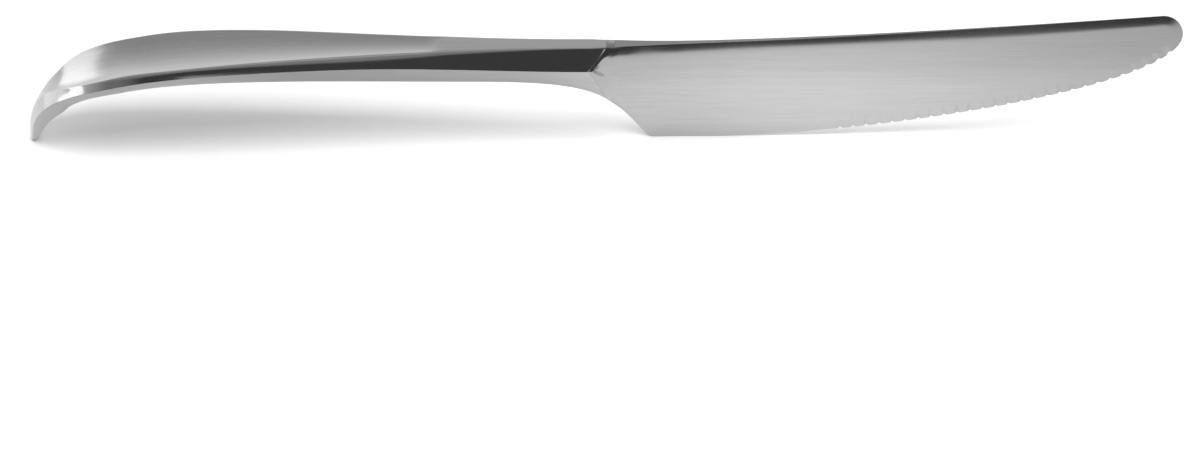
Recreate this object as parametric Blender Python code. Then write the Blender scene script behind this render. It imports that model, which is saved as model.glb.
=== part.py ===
"""Grill knife: a satin steel blade with a scalloped edge, set in a hollow handle brazed from two shells.

Units are metres. +X runs from the handle to the blade's nose, +Z is up and -Y is the scalloped flank.
Inside this file x is measured from the point of the handle's mouth, and an empty then centres the knife.
"""
import math

import bmesh
import bpy
import numpy as np
from mathutils import Vector

# Overall sizes
HANDLE_LENGTH = 0.1142
BLADE_LENGTH = 0.1202
TOP_HEIGHT = 0.0209
FIT_GAP = 0.0003

# Handle: its level top line, which hooks down to a small foot on the table
TOP_RUN = 0.0715
HOOK_RUN = 0.0250
HOOK_ANGLE = math.radians(100.0)

# Handle: places along the top line, measured from the foot
CURL_END = 0.0115
TONGUE_START = 0.0095
TONGUE_END = 0.0150
SHOULDER = 0.0188
WIDEST = 0.0280
RIM_SETTLED = 0.0420
WAIST_FROM_MOUTH = 0.0500

# Handle: the leaf-shaped seam outline, the rim inside it and the keel below
FOOT_WIDTH = 0.0024
LEAF_SHARPNESS = 1.10
HANDLE_WIDTH = 0.0212
NECK_WIDTH = 0.0086
RIM_INSET_HOOK = 0.0014
RIM_INSET_BODY = 0.0004
RIM_INSET_MOUTH = 0.0020
RIDGE_WIDTH = 0.0008
TONGUE_WIDTH = 0.0050
SHOULDER_WIDTH = 0.0146
SIDE_DEPTH_FOOT = 0.0005
SIDE_DEPTH_CURL = 0.0011
SIDE_DEPTH_BODY = 0.0015
SIDE_DEPTH_WAIST = 0.0023
SIDE_DEPTH_MOUTH = 0.0044
KEEL_DEPTH_FOOT = 0.0012
KEEL_DEPTH_CURL = 0.0060
KEEL_DEPTH_BODY = 0.0072
KEEL_DEPTH_NECK = 0.0082
KEEL_WIDTH_FOOT = 0.0008
KEEL_WIDTH = 0.0021

# Handle: the shallow dish in its top face
DISH_START = 0.0090
DISH_DEEPEST = 0.0300
DISH_FADE = 0.0060
DISH_FROM_MOUTH = 0.0305
DISH_DEPTH = 0.0010
DISH_DEPTH_NECK = 0.0004

# Handle: shells and the mouth, whose end faces form a blunt arrow
SHELL_WALL = 0.0009
CAVITY_START = 0.0210
CAVITY_RUNOUT = 0.0060
MOUTH_SETBACK = 0.0008
MOUTH_SLANT = 0.0037
MOUTH_BLEND = 0.0150

# Blade outline
HEEL_FROM_MOUTH = 0.0116
HEEL_RADIUS = 0.0016
CHOIL_ANGLE = math.radians(50.0)
CHOIL_RUN = 0.0126
CHOIL_SWEEP = 0.0255
CHOIL_FROM_MOUTH = 0.0232
BELLY_FROM_MOUTH = 0.0220
BELLY_RUN = 0.0333
NOSE_PULL = 0.0120
NOSE_ANGLE = math.radians(76.0)
NOSE_RADIUS = 0.0040
SPINE_RISE = 0.0055
SPINE_TILT = math.radians(4.2)

# Blade thickness, and how its borders are worked
SPINE_THICKNESS = 0.0030
HEEL_THICKNESS = 0.0008
NOSE_THICKNESS = 0.0011
EDGE_LAND = 0.00012
BEVEL_HEIGHT = 0.0014
BEVEL_FADE = 0.0050
SPINE_SOFTENING = 0.00040
SPINE_ROUND = 0.0013
NOSE_ROUND = 0.0019
NECK_ROUND = 0.0030
NECK_SWELL = 0.0007
NECK_FADE = 0.0150
CHOIL_ROUND = 0.0005
ROUND_LEAN = 0.6

# Scallops ground into the -Y flank
SCALLOP_FROM_MOUTH = 0.0506
SCALLOP_PITCH = 0.00267
SCALLOP_WIDTH = 0.0017
SCALLOP_HEIGHT = 0.0022
SCALLOP_DEPTH = 0.00031
SCALLOP_END = 0.0020
CUTTER_REACH = 2.0

# Bolster, spigot and tang behind the blade
BOLSTER_LENGTH = 0.0008
PLUNGE_RUN = 0.0013
SPIGOT_LENGTH = 0.0030
TANG_LENGTH = 0.0360
TANG_THICKNESS = 0.0016
TANG_WIDTH = 0.0032
TANG_TIP_WIDTH = 0.0024
NOTCH_COUNT = 3
NOTCH_DEPTH = 0.0005
NOTCH_LENGTH = 0.0030

# Joining materials inside the handle
BEAD_RADIUS = 0.00035
BEAD_FROM_CAVITY = 0.0100
CEMENT_COVER = 0.0040

# Handle section levels: 0 is the top's middle, 1 the rim, 2 the seam, 3 the keel and 4 its middle
RIM = 1.0
SEAM = 2.0
KEEL = 3.0
KEEL_MIDDLE = 4.0
TOP_LEVELS = [SEAM, 1.66, 1.33, 1.1, 0.93, 0.7, 0.4, 0.0]
KEEL_LEVELS = [SEAM, 2.33, 2.66, KEEL, KEEL_MIDDLE]
CEMENT_SHARES = [0.3, 0.65, 0.9]
CEMENT_LOWER = 0.35
FLAT_SHARE = 0.9
LEAST_TRIM = 0.1

# Facet counts
HOOK_STEPS = 20
BODY_STEPS = 18
NECK_STEPS = 12
BORDER_STEPS = 3
CURVE_SAMPLES = 600
CHOIL_STEPS = 10
HEEL_STEPS = 4
BELLY_STEPS = 44
NOSE_STEPS = 12
SPINE_STEPS = 22
SPIGOT_STEPS = 4
TANG_STEPS = 36
CEMENT_STEPS = 10
BEAD_STEPS = 30
BEAD_SIDES = 6
BEAD_TRIES = 5
SCALLOP_SIDES = 32
SMOOTH_ANGLE = math.radians(25.0)


def bezier(points, count):
    """Points along the Bezier curve of the given control points."""
    steps = np.linspace(0.0, 1.0, count)[:, None]
    rows = [np.tile(np.array(point, dtype=float), (count, 1)) for point in points]
    while len(rows) > 1:
        rows = [first + (second - first) * steps for first, second in zip(rows, rows[1:])]
    return rows[0]


def lengths_along(points):
    """Distance along a line of points, from its first point."""
    pieces = np.linalg.norm(np.diff(points, axis=0), axis=1)
    return np.concatenate(([0.0], np.cumsum(pieces)))


def ease(value):
    """A smooth step from 0 to 1."""
    value = min(max(value, 0.0), 1.0)
    return value * value * (3.0 - 2.0 * value)


def mix(first, second, share):
    return first + (second - first) * share


def smooth_through(*pairs):
    """A smooth size along the handle through a few (place, size) pairs, without overshoot."""
    places, sizes = np.array(pairs).T
    slopes = np.diff(sizes) / np.diff(places)
    tangents = np.zeros(len(sizes))
    for index in range(1, len(sizes) - 1):
        before, after = slopes[index - 1], slopes[index]
        if before * after > 0.0:
            tangents[index] = 2.0 * before * after / (before + after)

    def size_at(place):
        place = min(max(place, places[0]), places[-1])
        index = min(int(np.searchsorted(places, place, side="right")) - 1, len(slopes) - 1)
        run = places[index + 1] - places[index]
        share = (place - places[index]) / run
        leaving = tangents[index] * (1.0 - share) ** 2 * share
        arriving = tangents[index + 1] * share ** 2 * (1.0 - share)
        return mix(sizes[index], sizes[index + 1], ease(share)) + run * (leaving - arriving)

    return size_at


# Blade outline curves in the X-Z plane
NOSE_CENTRE = np.array([BLADE_LENGTH - NOSE_RADIUS,
                        TOP_HEIGHT + SPINE_RISE - NOSE_RADIUS * math.cos(SPINE_TILT)])


def on_nose(angle):
    """Point of the nose's arc whose border runs at the given slope."""
    return NOSE_CENTRE + NOSE_RADIUS * np.array([math.sin(angle), -math.cos(angle)])


SPINE_END = on_nose(math.pi + SPINE_TILT)
BELLY_END = on_nose(NOSE_ANGLE)
HEEL = np.array([HEEL_FROM_MOUTH, 0.0])
NECK_HEIGHT = TOP_HEIGHT - KEEL_DEPTH_NECK
CHOIL = bezier([(-CHOIL_FROM_MOUTH, NECK_HEIGHT),
                (CHOIL_SWEEP - CHOIL_FROM_MOUTH, NECK_HEIGHT),
                HEEL + CHOIL_RUN * np.array([-math.cos(CHOIL_ANGLE), math.sin(CHOIL_ANGLE)]),
                HEEL], CURVE_SAMPLES)
BELLY = bezier([(BELLY_FROM_MOUTH, 0.0),
                (BELLY_FROM_MOUTH + BELLY_RUN, 0.0),
                BELLY_END - NOSE_PULL * np.array([math.cos(NOSE_ANGLE), math.sin(NOSE_ANGLE)]),
                BELLY_END], CURVE_SAMPLES)

# Handle top line, from the foot to the mouth and level beyond it
FOOT = np.array([-HANDLE_LENGTH, 0.0])
TOP_LINE = bezier([FOOT,
                   FOOT + HOOK_RUN * np.array([math.cos(HOOK_ANGLE), math.sin(HOOK_ANGLE)]),
                   (-TOP_RUN, TOP_HEIGHT),
                   (0.0, TOP_HEIGHT)], CURVE_SAMPLES)
TOP_PLACES = lengths_along(TOP_LINE)
MOUTH = TOP_PLACES[-1]
TOP_TURNS = np.gradient(TOP_LINE, axis=0)
TOP_ANGLES = np.minimum(np.arctan2(TOP_TURNS[:, 1], TOP_TURNS[:, 0]), math.pi / 2)

rim_inset = smooth_through((WIDEST, RIM_INSET_HOOK), (RIM_SETTLED, RIM_INSET_BODY), (MOUTH, RIM_INSET_MOUTH))
tongue_half = smooth_through((TONGUE_START, RIDGE_WIDTH / 2), (TONGUE_END, TONGUE_WIDTH / 2),
                             (SHOULDER, SHOULDER_WIDTH / 2), (WIDEST, HANDLE_WIDTH / 2))
side_depth = smooth_through((0.0, SIDE_DEPTH_FOOT), (CURL_END, SIDE_DEPTH_CURL), (WIDEST, SIDE_DEPTH_BODY),
                            (MOUTH - WAIST_FROM_MOUTH, SIDE_DEPTH_WAIST), (MOUTH, SIDE_DEPTH_MOUTH))
body_depth = smooth_through((CURL_END, KEEL_DEPTH_CURL), (WIDEST, KEEL_DEPTH_BODY),
                            (MOUTH - CHOIL_FROM_MOUTH, KEEL_DEPTH_NECK))
keel_half = smooth_through((0.0, KEEL_WIDTH_FOOT / 2), (WIDEST, KEEL_WIDTH / 2))
dish_depth = smooth_through((DISH_START, 0.0), (DISH_DEEPEST, DISH_DEPTH),
                            (MOUTH - DISH_FROM_MOUTH - DISH_FADE, DISH_DEPTH_NECK),
                            (MOUTH - DISH_FROM_MOUTH, 0.0))


def seam_half(place):
    """Half width of the leaf outline: a sine from foot to widest part, then a long taper to the neck."""
    if place < WIDEST:
        share = (max(place, 0.0) / WIDEST) ** LEAF_SHARPNESS
        return mix(FOOT_WIDTH / 2, HANDLE_WIDTH / 2, math.sin(math.pi / 2 * share))
    share = min((place - WIDEST) / (MOUTH - WIDEST), 1.0)
    return mix(NECK_WIDTH / 2, HANDLE_WIDTH / 2, (1.0 + math.cos(math.pi * share)) / 2)


def rim_half(place):
    """Half width of the top face, which narrows to a tongue and a ridge over the hook's curl."""
    return max(min(seam_half(place) - rim_inset(place), tongue_half(place)), RIDGE_WIDTH / 2)


def keel_depth(place):
    """Depth of the keel below the top line: it swells from the foot and runs into the choil at the neck."""
    if place < CURL_END:
        return mix(KEEL_DEPTH_FOOT, KEEL_DEPTH_CURL, math.sin(math.pi / 2 * place / CURL_END))
    if place < MOUTH - CHOIL_FROM_MOUTH:
        return body_depth(place)
    return TOP_HEIGHT - np.interp(place - MOUTH, CHOIL[:, 0], CHOIL[:, 1])


def drawn_in(start, end, inset):
    """A side of the half section moved inwards, as a point and a direction."""
    direction = (end - start) / np.linalg.norm(end - start)
    return start + inset * np.array([direction[1], -direction[0]]), direction


def crossing(first, second):
    """Where two lines of the half section meet."""
    shares = np.linalg.solve(np.column_stack((first[1], -second[1])), second[0] - first[0])
    return first[0] + shares[0] * first[1]


def corners(place, inset=0.0):
    """Rim, seam and keel corners of the half section (y, depth), drawn in by a wall or a clearance."""
    rim = np.array([rim_half(place), 0.0])
    seam = np.array([seam_half(place), -side_depth(place)])
    keel = np.array([keel_half(place), -keel_depth(place)])
    if inset == 0.0:
        return rim, seam, keel
    level = np.array([1.0, 0.0])
    top = (rim - np.array([0.0, inset]), level)
    side = drawn_in(rim, seam, inset)
    lower = drawn_in(seam, keel, inset)
    bottom = (keel + np.array([0.0, inset]), level)
    return crossing(top, side), crossing(side, lower), crossing(lower, bottom)


def section_point(place, level, inset=0.0):
    """Half section point (y, depth) at a level between the top's middle and the keel's middle."""
    rim, seam, keel = corners(place, inset)
    if level <= RIM:
        return np.array([rim[0] * level, rim[1] - dish_depth(place) * (1.0 - level * level)])
    if level <= SEAM:
        return mix(rim, seam, level - RIM)
    if level <= KEEL:
        return mix(seam, keel, level - SEAM)
    return np.array([keel[0] * (KEEL_MIDDLE - level), keel[1]])


def in_space(place, point, side=1.0):
    """The half section's point set square to the handle's top line, on the +Y or -Y side."""
    if place > MOUTH:
        return Vector((place - MOUTH, side * point[0], TOP_HEIGHT + point[1]))
    angle = np.interp(place, TOP_PLACES, TOP_ANGLES)
    x = np.interp(place, TOP_PLACES, TOP_LINE[:, 0]) - point[1] * math.sin(angle)
    z = np.interp(place, TOP_PLACES, TOP_LINE[:, 1]) + point[1] * math.cos(angle)
    return Vector((x, side * point[0], z))


def mouth_place(level):
    """Where a shell ends at the mouth, which slants back from the rim and the keel to the seam."""
    return MOUTH - MOUTH_SETBACK + MOUTH_SLANT * min(abs(level - SEAM), 1.0)


def seam_wedge(place, inset):
    """Lengths of the sides above and below the seam, and half the angle between them."""
    rim, seam, keel = corners(place, inset)
    up = np.linalg.norm(rim - seam)
    down = np.linalg.norm(keel - seam)
    return up, down, math.acos(np.dot(rim - seam, keel - seam) / (up * down)) / 2


def seam_levels(place, inset):
    """Levels just above and below the seam that leave a gap between the two shells."""
    up, down, half_angle = seam_wedge(place, inset)
    back = FIT_GAP / 2 / math.sin(half_angle)
    return SEAM - back / up, SEAM + back / down


def solid_from(name, vertices, faces, material):
    """A named object from vertices and faces, with all faces pointing out and sharp corners kept."""
    mesh = bpy.data.meshes.new(name)
    mesh.from_pydata([tuple(vertex) for vertex in vertices], [], faces)
    work = bmesh.new()
    work.from_mesh(mesh)
    bmesh.ops.recalc_face_normals(work, faces=work.faces)
    work.to_mesh(mesh)
    work.free()
    mesh.materials.append(material)
    mesh.shade_smooth()
    mesh.set_sharp_from_angle(angle=SMOOTH_ANGLE)
    item = bpy.data.objects.new(name, mesh)
    bpy.context.collection.objects.link(item)
    return item


def mirrored_ring(points):
    """A closed ring from half-section points on the +Y side, top to bottom, and their mirror images."""
    return points + [Vector((point.x, -point.y, point.z)) for point in reversed(points)]


def ring_faces(rings, first=0):
    """Quads between neighbouring rings of equal count whose vertices are stored one ring after another."""
    count = len(rings[0])
    faces = []
    for row in range(len(rings) - 1):
        for column in range(count):
            here = first + row * count
            after = (column + 1) % count
            faces.append((here + column, here + after, here + count + after, here + count + column))
    return faces


def surface(name, colour, roughness, metallic):
    """A plain material of one colour."""
    material = bpy.data.materials.new(name)
    material.use_nodes = True
    shader = material.node_tree.nodes["Principled BSDF"]
    shader.inputs["Base Color"].default_value = (*colour, 1.0)
    shader.inputs["Roughness"].default_value = roughness
    shader.inputs["Metallic"].default_value = metallic
    return material


# Handle shells

def shell(name, levels, upper, material):
    """One half of the handle: an outer and an inner skin from the foot to the mouth, solid at the hook."""
    places = np.concatenate((np.linspace(0.0, WIDEST, HOOK_STEPS, endpoint=False),
                             np.linspace(WIDEST, MOUTH - CHOIL_FROM_MOUTH, BODY_STEPS, endpoint=False),
                             np.linspace(MOUTH - CHOIL_FROM_MOUTH, MOUTH, NECK_STEPS)))
    signed = [(level, -1.0) for level in levels] + [(level, 1.0) for level in reversed(levels[:-1])]
    outer = [shell_row(place, signed, upper, 0.0) for place in places]
    inner = [shell_row(place, signed, upper, SHELL_WALL) for place in places]
    count = len(signed)
    rings = [out + list(reversed(into)) for out, into in zip(outer, inner)]
    faces = ring_faces(rings)
    last = (len(rings) - 1) * 2 * count
    for column in range(count - 1):
        across = 2 * count - 1 - column
        faces.append((column, column + 1, across - 1, across))
        faces.append((last + column, last + column + 1, last + across - 1, last + across))
    return solid_from(name, [point for ring in rings for point in ring], faces, material)


def trimmed(place, level, upper, inset):
    """A shell's level, drawn back from the seam so that the gap between the shells stays free."""
    above, below = seam_levels(place, inset)
    if upper:
        return min(level, RIM) + max(level - RIM, 0.0) * max(above - RIM, LEAST_TRIM)
    return max(level - KEEL, 0.0) + mix(below, KEEL, min(level, KEEL) - SEAM)


def shell_row(place, signed_levels, upper, wall):
    """One row of a shell's outer skin, or of its inner skin when a wall is given."""
    row = []
    slant_share = ease(1.0 - (MOUTH - place) / MOUTH_BLEND)
    opened = ease((place - CAVITY_START) / CAVITY_RUNOUT)
    for level, side in signed_levels:
        here = place + (mouth_place(level) - MOUTH) * slant_share
        if wall == 0.0:
            row.append(in_space(here, section_point(here, trimmed(here, level, upper, 0.0)), side))
            continue
        edge = section_point(here, trimmed(here, SEAM, upper, 0.0))
        share = (level if upper else KEEL_MIDDLE - level) / SEAM
        point = np.array([edge[0] * share * FLAT_SHARE, edge[1]])
        if opened > 0.0:
            point = mix(point, section_point(here, trimmed(here, level, upper, wall), wall), opened)
        row.append(in_space(here, point, side))
    return row


# Blade

BLADE_REAR = FIT_GAP + BOLSTER_LENGTH + PLUNGE_RUN - MOUTH_SETBACK


def flank_plane():
    """Half thickness of the blade as a plane a + b x + c z through its spine, heel and nose."""
    places = np.array([[1.0, 0.0, TOP_HEIGHT],
                       [1.0, HEEL[0], HEEL[1]],
                       [1.0, NOSE_CENTRE[0], NOSE_CENTRE[1]]])
    return np.linalg.solve(places, np.array([SPINE_THICKNESS, HEEL_THICKNESS, NOSE_THICKNESS]) / 2)


FLANK = flank_plane()


def flank_half(point):
    return FLANK[0] + FLANK[1] * point[0] + FLANK[2] * point[1]


def blade_outline():
    """Border points from the choil round edge and nose to the spine, each with its border's sizes.

    A border is (half land, width, roundness, swell): the flat at the very edge, how far the worked border
    reaches in, 0 for a ground bevel or 1 for a rounding, and how far a rounding bulges past the flank.
    """
    rear = BLADE_REAR + MOUTH_SLANT
    tangent = HEEL_RADIUS * math.tan(CHOIL_ANGLE / 2)
    points, borders = [], []

    for share in np.linspace(0.0, 1.0, CHOIL_STEPS):
        x = mix(rear, HEEL[0] - tangent * math.cos(CHOIL_ANGLE), share)
        points.append((x, np.interp(x, CHOIL[:, 0], CHOIL[:, 1])))
        borders.append((mix(KEEL_WIDTH / 2, EDGE_LAND / 2, ease(share)), CHOIL_ROUND, 1.0, 0.0))

    for share in np.linspace(0.0, 1.0, HEEL_STEPS + 1)[1:]:
        turn = CHOIL_ANGLE * (1.0 - share)
        points.append((HEEL[0] + tangent - HEEL_RADIUS * math.sin(turn),
                       HEEL_RADIUS * (1.0 - math.cos(turn))))
        borders.append((EDGE_LAND / 2, CHOIL_ROUND, 1.0 - share, 0.0))

    points.append((HEEL[0] + tangent + BEVEL_FADE, 0.0))
    borders.append((EDGE_LAND / 2, BEVEL_HEIGHT, 0.0, 0.0))
    for point in bezier_steps(BELLY, BELLY_STEPS):
        points.append(tuple(point))
        borders.append((EDGE_LAND / 2, BEVEL_HEIGHT, 0.0, 0.0))

    nose_land = NOSE_THICKNESS / 2 - SPINE_SOFTENING
    for share in np.linspace(0.0, 1.0, NOSE_STEPS + 1)[1:-1]:
        land = mix(EDGE_LAND / 2, nose_land, share)
        width = mix(BEVEL_HEIGHT, NOSE_ROUND, share)
        points.append(tuple(on_nose(mix(NOSE_ANGLE, math.pi + SPINE_TILT, share))))
        borders.append((land, width, share, 0.0))

    crown = SPINE_END[0] - SPINE_RISE / math.tan(SPINE_TILT)
    spine = bezier([SPINE_END, (crown, TOP_HEIGHT), (rear, TOP_HEIGHT)], SPINE_STEPS)
    for point in spine:
        along = (point[0] - rear) / (SPINE_END[0] - rear)
        neck = 1.0 - ease(point[0] / NECK_FADE)
        land = mix(flank_half(point) - SPINE_SOFTENING, rim_half(MOUTH), neck)
        width = mix(mix(SPINE_ROUND, NOSE_ROUND, along), NECK_ROUND, neck)
        points.append(tuple(point))
        borders.append((land, width, 1.0, NECK_SWELL * neck))
    return np.array(points), borders


def bezier_steps(curve, count):
    """A few evenly spaced points of a finely sampled curve."""
    places = lengths_along(curve)
    wanted = np.linspace(0.0, places[-1], count)
    return np.column_stack([np.interp(wanted, places, curve[:, axis]) for axis in (0, 1)])


def border_rows(points, borders):
    """For each outline point, its half section from the land (first) to the flank (last), on the +Y side."""
    travel = np.gradient(points, axis=0)
    travel /= np.linalg.norm(travel, axis=1)[:, None]
    rows = []
    for point, ahead, (land, width, roundness, swell) in zip(points, travel, borders):
        inward = np.array([-ahead[1], ahead[0]])
        row = []
        for step in range(BORDER_STEPS + 1):
            share = step / BORDER_STEPS
            rest = 1.0 - share
            reach = mix(share, 2.0 * share * rest * ROUND_LEAN + share * share, roundness) * width
            rise = mix(share, 1.0 - rest * rest, roundness)
            spot = point + reach * inward
            half = mix(land, flank_half(point + width * inward), rise) + swell * math.sin(math.pi * share)
            row.append(Vector((spot[0], half, spot[1])))
        rows.append(row)
    return rows


def midway(first, second):
    """The flank's point half way between two others."""
    spot = np.array([first.x + second.x, first.z + second.z]) / 2
    return Vector((spot[0], flank_half(spot), spot[1]))


def tang_half_width(along):
    """Half width of the tapered tang, with notches that key it into the cement."""
    half = mix(TANG_WIDTH, TANG_TIP_WIDTH, along) / 2
    for index in range(NOTCH_COUNT):
        centre = (index + 1) / (NOTCH_COUNT + 1)
        offset = (along - centre) * TANG_LENGTH / (NOTCH_LENGTH / 2)
        if abs(offset) < 1.0:
            half -= NOTCH_DEPTH * (1.0 + math.cos(math.pi * offset)) / 2
    return half


def tang_ring(along, count, clearance):
    """Cross-section of the tang, or of its bed in the cement when a clearance is given."""
    rim, _, keel = corners(MOUTH - CHOIL_FROM_MOUTH, SHELL_WALL)
    middle = TOP_HEIGHT + (rim[1] + keel[1]) / 2
    half_width = tang_half_width(along) + clearance
    x = -SPIGOT_LENGTH - along * TANG_LENGTH
    heights = np.linspace(middle + half_width, middle - half_width, count)
    return mirrored_ring([Vector((x, TANG_THICKNESS / 2 + clearance, height)) for height in heights])


def blade(material):
    """Blade with its bolster, spigot and notched tang, all one forging."""
    points, borders = blade_outline()
    right = border_rows(points, borders)
    left = [[Vector((spot.x, -spot.y, spot.z)) for spot in row] for row in right]
    vertices, faces = [], []

    def add(items):
        vertices.extend(items)
        return list(range(len(vertices) - len(items), len(vertices)))

    right_rows = [add(row) for row in right]
    left_rows = [add(row) for row in left]
    apex_spot = np.array([BLADE_REAR, TOP_HEIGHT - side_depth(MOUTH)])
    apex = Vector((apex_spot[0], flank_half(apex_spot), apex_spot[1]))
    rear = [midway(right[-1][-1], apex), apex, midway(apex, right[0][-1])]
    rear_right = add(rear)
    rear_left = add([Vector((spot.x, -spot.y, spot.z)) for spot in rear])

    for index in range(len(points) - 1):
        after = index + 1
        faces.append((left_rows[index][0], left_rows[after][0], right_rows[after][0], right_rows[index][0]))
        for step in range(BORDER_STEPS):
            for rows in (right_rows, left_rows):
                here, ahead = rows[index], rows[after]
                faces.append((here[step], ahead[step], ahead[step + 1], here[step + 1]))
    faces.append([row[-1] for row in right_rows] + rear_right)
    faces.append([row[-1] for row in left_rows] + rear_left)

    plunge = right_rows[-1] + rear_right + list(reversed(right_rows[0]))
    plunge_left = left_rows[-1] + rear_left + list(reversed(left_rows[0]))
    half_count = len(plunge)
    rings = [plunge + list(reversed(plunge_left))]
    levels = np.linspace(RIM, KEEL, half_count)
    for distance in (FIT_GAP + BOLSTER_LENGTH, FIT_GAP):
        collar = [mouth_place(level) + distance for level in levels]
        rings.append(add(mirrored_ring([in_space(place, section_point(place, level))
                                        for place, level in zip(collar, levels)])))
    for share in np.linspace(0.0, 1.0, SPIGOT_STEPS):
        ring = []
        for level in levels:
            place = mix(mouth_place(level) + FIT_GAP, MOUTH - SPIGOT_LENGTH, share)
            ring.append(in_space(place, section_point(place, level, SHELL_WALL + FIT_GAP)))
        rings.append(add(mirrored_ring(ring)))
    for along in np.linspace(0.0, 1.0, TANG_STEPS):
        rings.append(add(tang_ring(along, half_count, 0.0)))
    for first, second in zip(rings, rings[1:]):
        for column in range(len(first)):
            after = (column + 1) % len(first)
            faces.append((first[column], first[after], second[after], second[column]))
    faces.append(rings[-1])
    item = solid_from("blade", vertices, faces, material)
    cut_scallops(item)
    return item


def scallop_centres():
    """Edge points of the scallops, with the direction of the edge there."""
    places = lengths_along(BELLY)
    first = np.interp(SCALLOP_FROM_MOUTH, BELLY[:, 0], places)
    count = int((places[-1] - SCALLOP_END - first) / SCALLOP_PITCH) + 1
    ahead = np.gradient(BELLY, places, axis=0)
    for place in first + SCALLOP_PITCH * np.arange(count):
        yield (np.array([np.interp(place, places, BELLY[:, axis]) for axis in (0, 1)]),
               np.array([np.interp(place, places, ahead[:, axis]) for axis in (0, 1)]))


def cut_scallops(item):
    """Round grooves that run out up the -Y flank and leave a gently waved cutting edge."""
    radius = (SCALLOP_WIDTH ** 2 / 4 + SCALLOP_DEPTH ** 2) / (2 * SCALLOP_DEPTH)
    vertices, faces = [], []
    for spot, ahead in scallop_centres():
        inward = np.array([-ahead[1], ahead[0]])
        upper = spot + SCALLOP_HEIGHT * inward
        rings = []
        for reach in (1.0 - CUTTER_REACH, CUTTER_REACH):
            centre = spot + reach * SCALLOP_HEIGHT * inward
            depth = mix(-flank_half(spot) + SCALLOP_DEPTH, -flank_half(upper), reach)
            ring = []
            for turn in np.linspace(0.0, 2 * math.pi, SCALLOP_SIDES, endpoint=False):
                sideways = centre + radius * math.sin(turn) * ahead
                ring.append(Vector((sideways[0], depth - radius + radius * math.cos(turn), sideways[1])))
            rings.append(ring)
        first = len(vertices)
        faces.extend(ring_faces(rings, first))
        faces.append(tuple(range(first, first + SCALLOP_SIDES)))
        faces.append(tuple(range(first + SCALLOP_SIDES, first + 2 * SCALLOP_SIDES)))
        vertices.extend(rings[0] + rings[1])
    cutter = solid_from("scallop_cutter", vertices, faces, item.data.materials[0])
    cutter.hide_render = True
    cutter.display_type = "WIRE"
    cutter.parent = KNIFE
    cut = item.modifiers.new("scallops", "BOOLEAN")
    cut.operation = "DIFFERENCE"
    cut.object = cutter


# Joining materials

def bead_centre(place):
    """Middle of the brazing: in the seam's inner corner, or lower where the dished roof comes down to it."""
    inset = SHELL_WALL + FIT_GAP + BEAD_RADIUS
    _, seam, keel = corners(place, inset)
    centre = seam
    for _ in range(BEAD_TRIES):
        across = min(centre[0] / rim_half(place), 1.0)
        ceiling = -inset - dish_depth(place) * (1.0 - across * across)
        share = max((ceiling - seam[1]) / (keel[1] - seam[1]), 0.0)
        centre = mix(seam, keel, share)
    return centre


def seam_bead(name, side, material):
    """Brazing fillet that runs inside the handle along one seam, from the spigot to the hook."""
    places = np.linspace(MOUTH - SPIGOT_LENGTH - FIT_GAP, CAVITY_START + BEAD_FROM_CAVITY, BEAD_STEPS)
    rings = []
    for place in places:
        centre = bead_centre(place)
        ring = []
        for turn in np.linspace(0.0, 2 * math.pi, BEAD_SIDES, endpoint=False):
            around = BEAD_RADIUS * np.array([math.cos(turn), math.sin(turn)])
            ring.append(in_space(place, centre + around, side))
        rings.append(ring)
    last = (len(rings) - 1) * BEAD_SIDES
    faces = ring_faces(rings)
    faces.append(tuple(range(BEAD_SIDES)))
    faces.append(tuple(range(last, last + BEAD_SIDES)))
    return solid_from(name, [point for ring in rings for point in ring], faces, material)


def cement(material):
    """Cement that beds the tang in the hollow handle, clear of the brazing along the seams."""
    inset = SHELL_WALL + FIT_GAP
    start = MOUTH - SPIGOT_LENGTH - FIT_GAP
    rings = []
    for place in np.linspace(start - TANG_LENGTH - CEMENT_COVER, start, CEMENT_STEPS):
        up, down, half_angle = seam_wedge(place, inset)
        clear = BEAD_RADIUS / math.sin(half_angle) + BEAD_RADIUS + FIT_GAP
        above = SEAM - clear / math.cos(half_angle) / up
        below = SEAM + clear / math.cos(half_angle) / down
        levels = [above * share for share in CEMENT_SHARES]
        levels += [above, below, mix(below, KEEL, CEMENT_LOWER), KEEL]
        rings.append(mirrored_ring([in_space(place, section_point(place, level, inset)) for level in levels]))
    count = len(rings[0])
    for distance in np.linspace(FIT_GAP, TANG_LENGTH + FIT_GAP, TANG_STEPS):
        rings.append(tang_ring(distance / TANG_LENGTH, count // 2, FIT_GAP))
    last = (len(rings) - 1) * count
    faces = ring_faces(rings)
    faces.append(tuple(range(count)))
    faces.append(tuple(range(last, last + count)))
    return solid_from("tang_cement", [point for ring in rings for point in ring], faces, material)


for old in list(bpy.data.objects):
    bpy.data.objects.remove(old, do_unlink=True)

KNIFE = bpy.data.objects.new("knife", None)
bpy.context.collection.objects.link(KNIFE)

blade_steel = surface("blade_steel", (0.62, 0.62, 0.61), 0.32, 1.0)
handle_steel = surface("handle_steel", (0.60, 0.60, 0.60), 0.28, 1.0)
braze = surface("braze", (0.72, 0.62, 0.42), 0.45, 1.0)
cement_grey = surface("cement", (0.52, 0.49, 0.45), 0.90, 0.0)

pieces = [blade(blade_steel),
          shell("handle_top_shell", TOP_LEVELS, True, handle_steel),
          shell("handle_keel_shell", KEEL_LEVELS, False, handle_steel),
          seam_bead("seam_braze_left", -1.0, braze),
          seam_bead("seam_braze_right", 1.0, braze),
          cement(cement_grey)]

# The origin is under the middle of the knife, on the table
reach = [vertex.co.x for piece in pieces for vertex in piece.data.vertices]
KNIFE.location.x = -(min(reach) + max(reach)) / 2
for piece in pieces:
    piece.parent = KNIFE
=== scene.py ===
import math

import bmesh
import bpy
import numpy as np
from mathutils import Matrix, Quaternion, Vector


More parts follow.
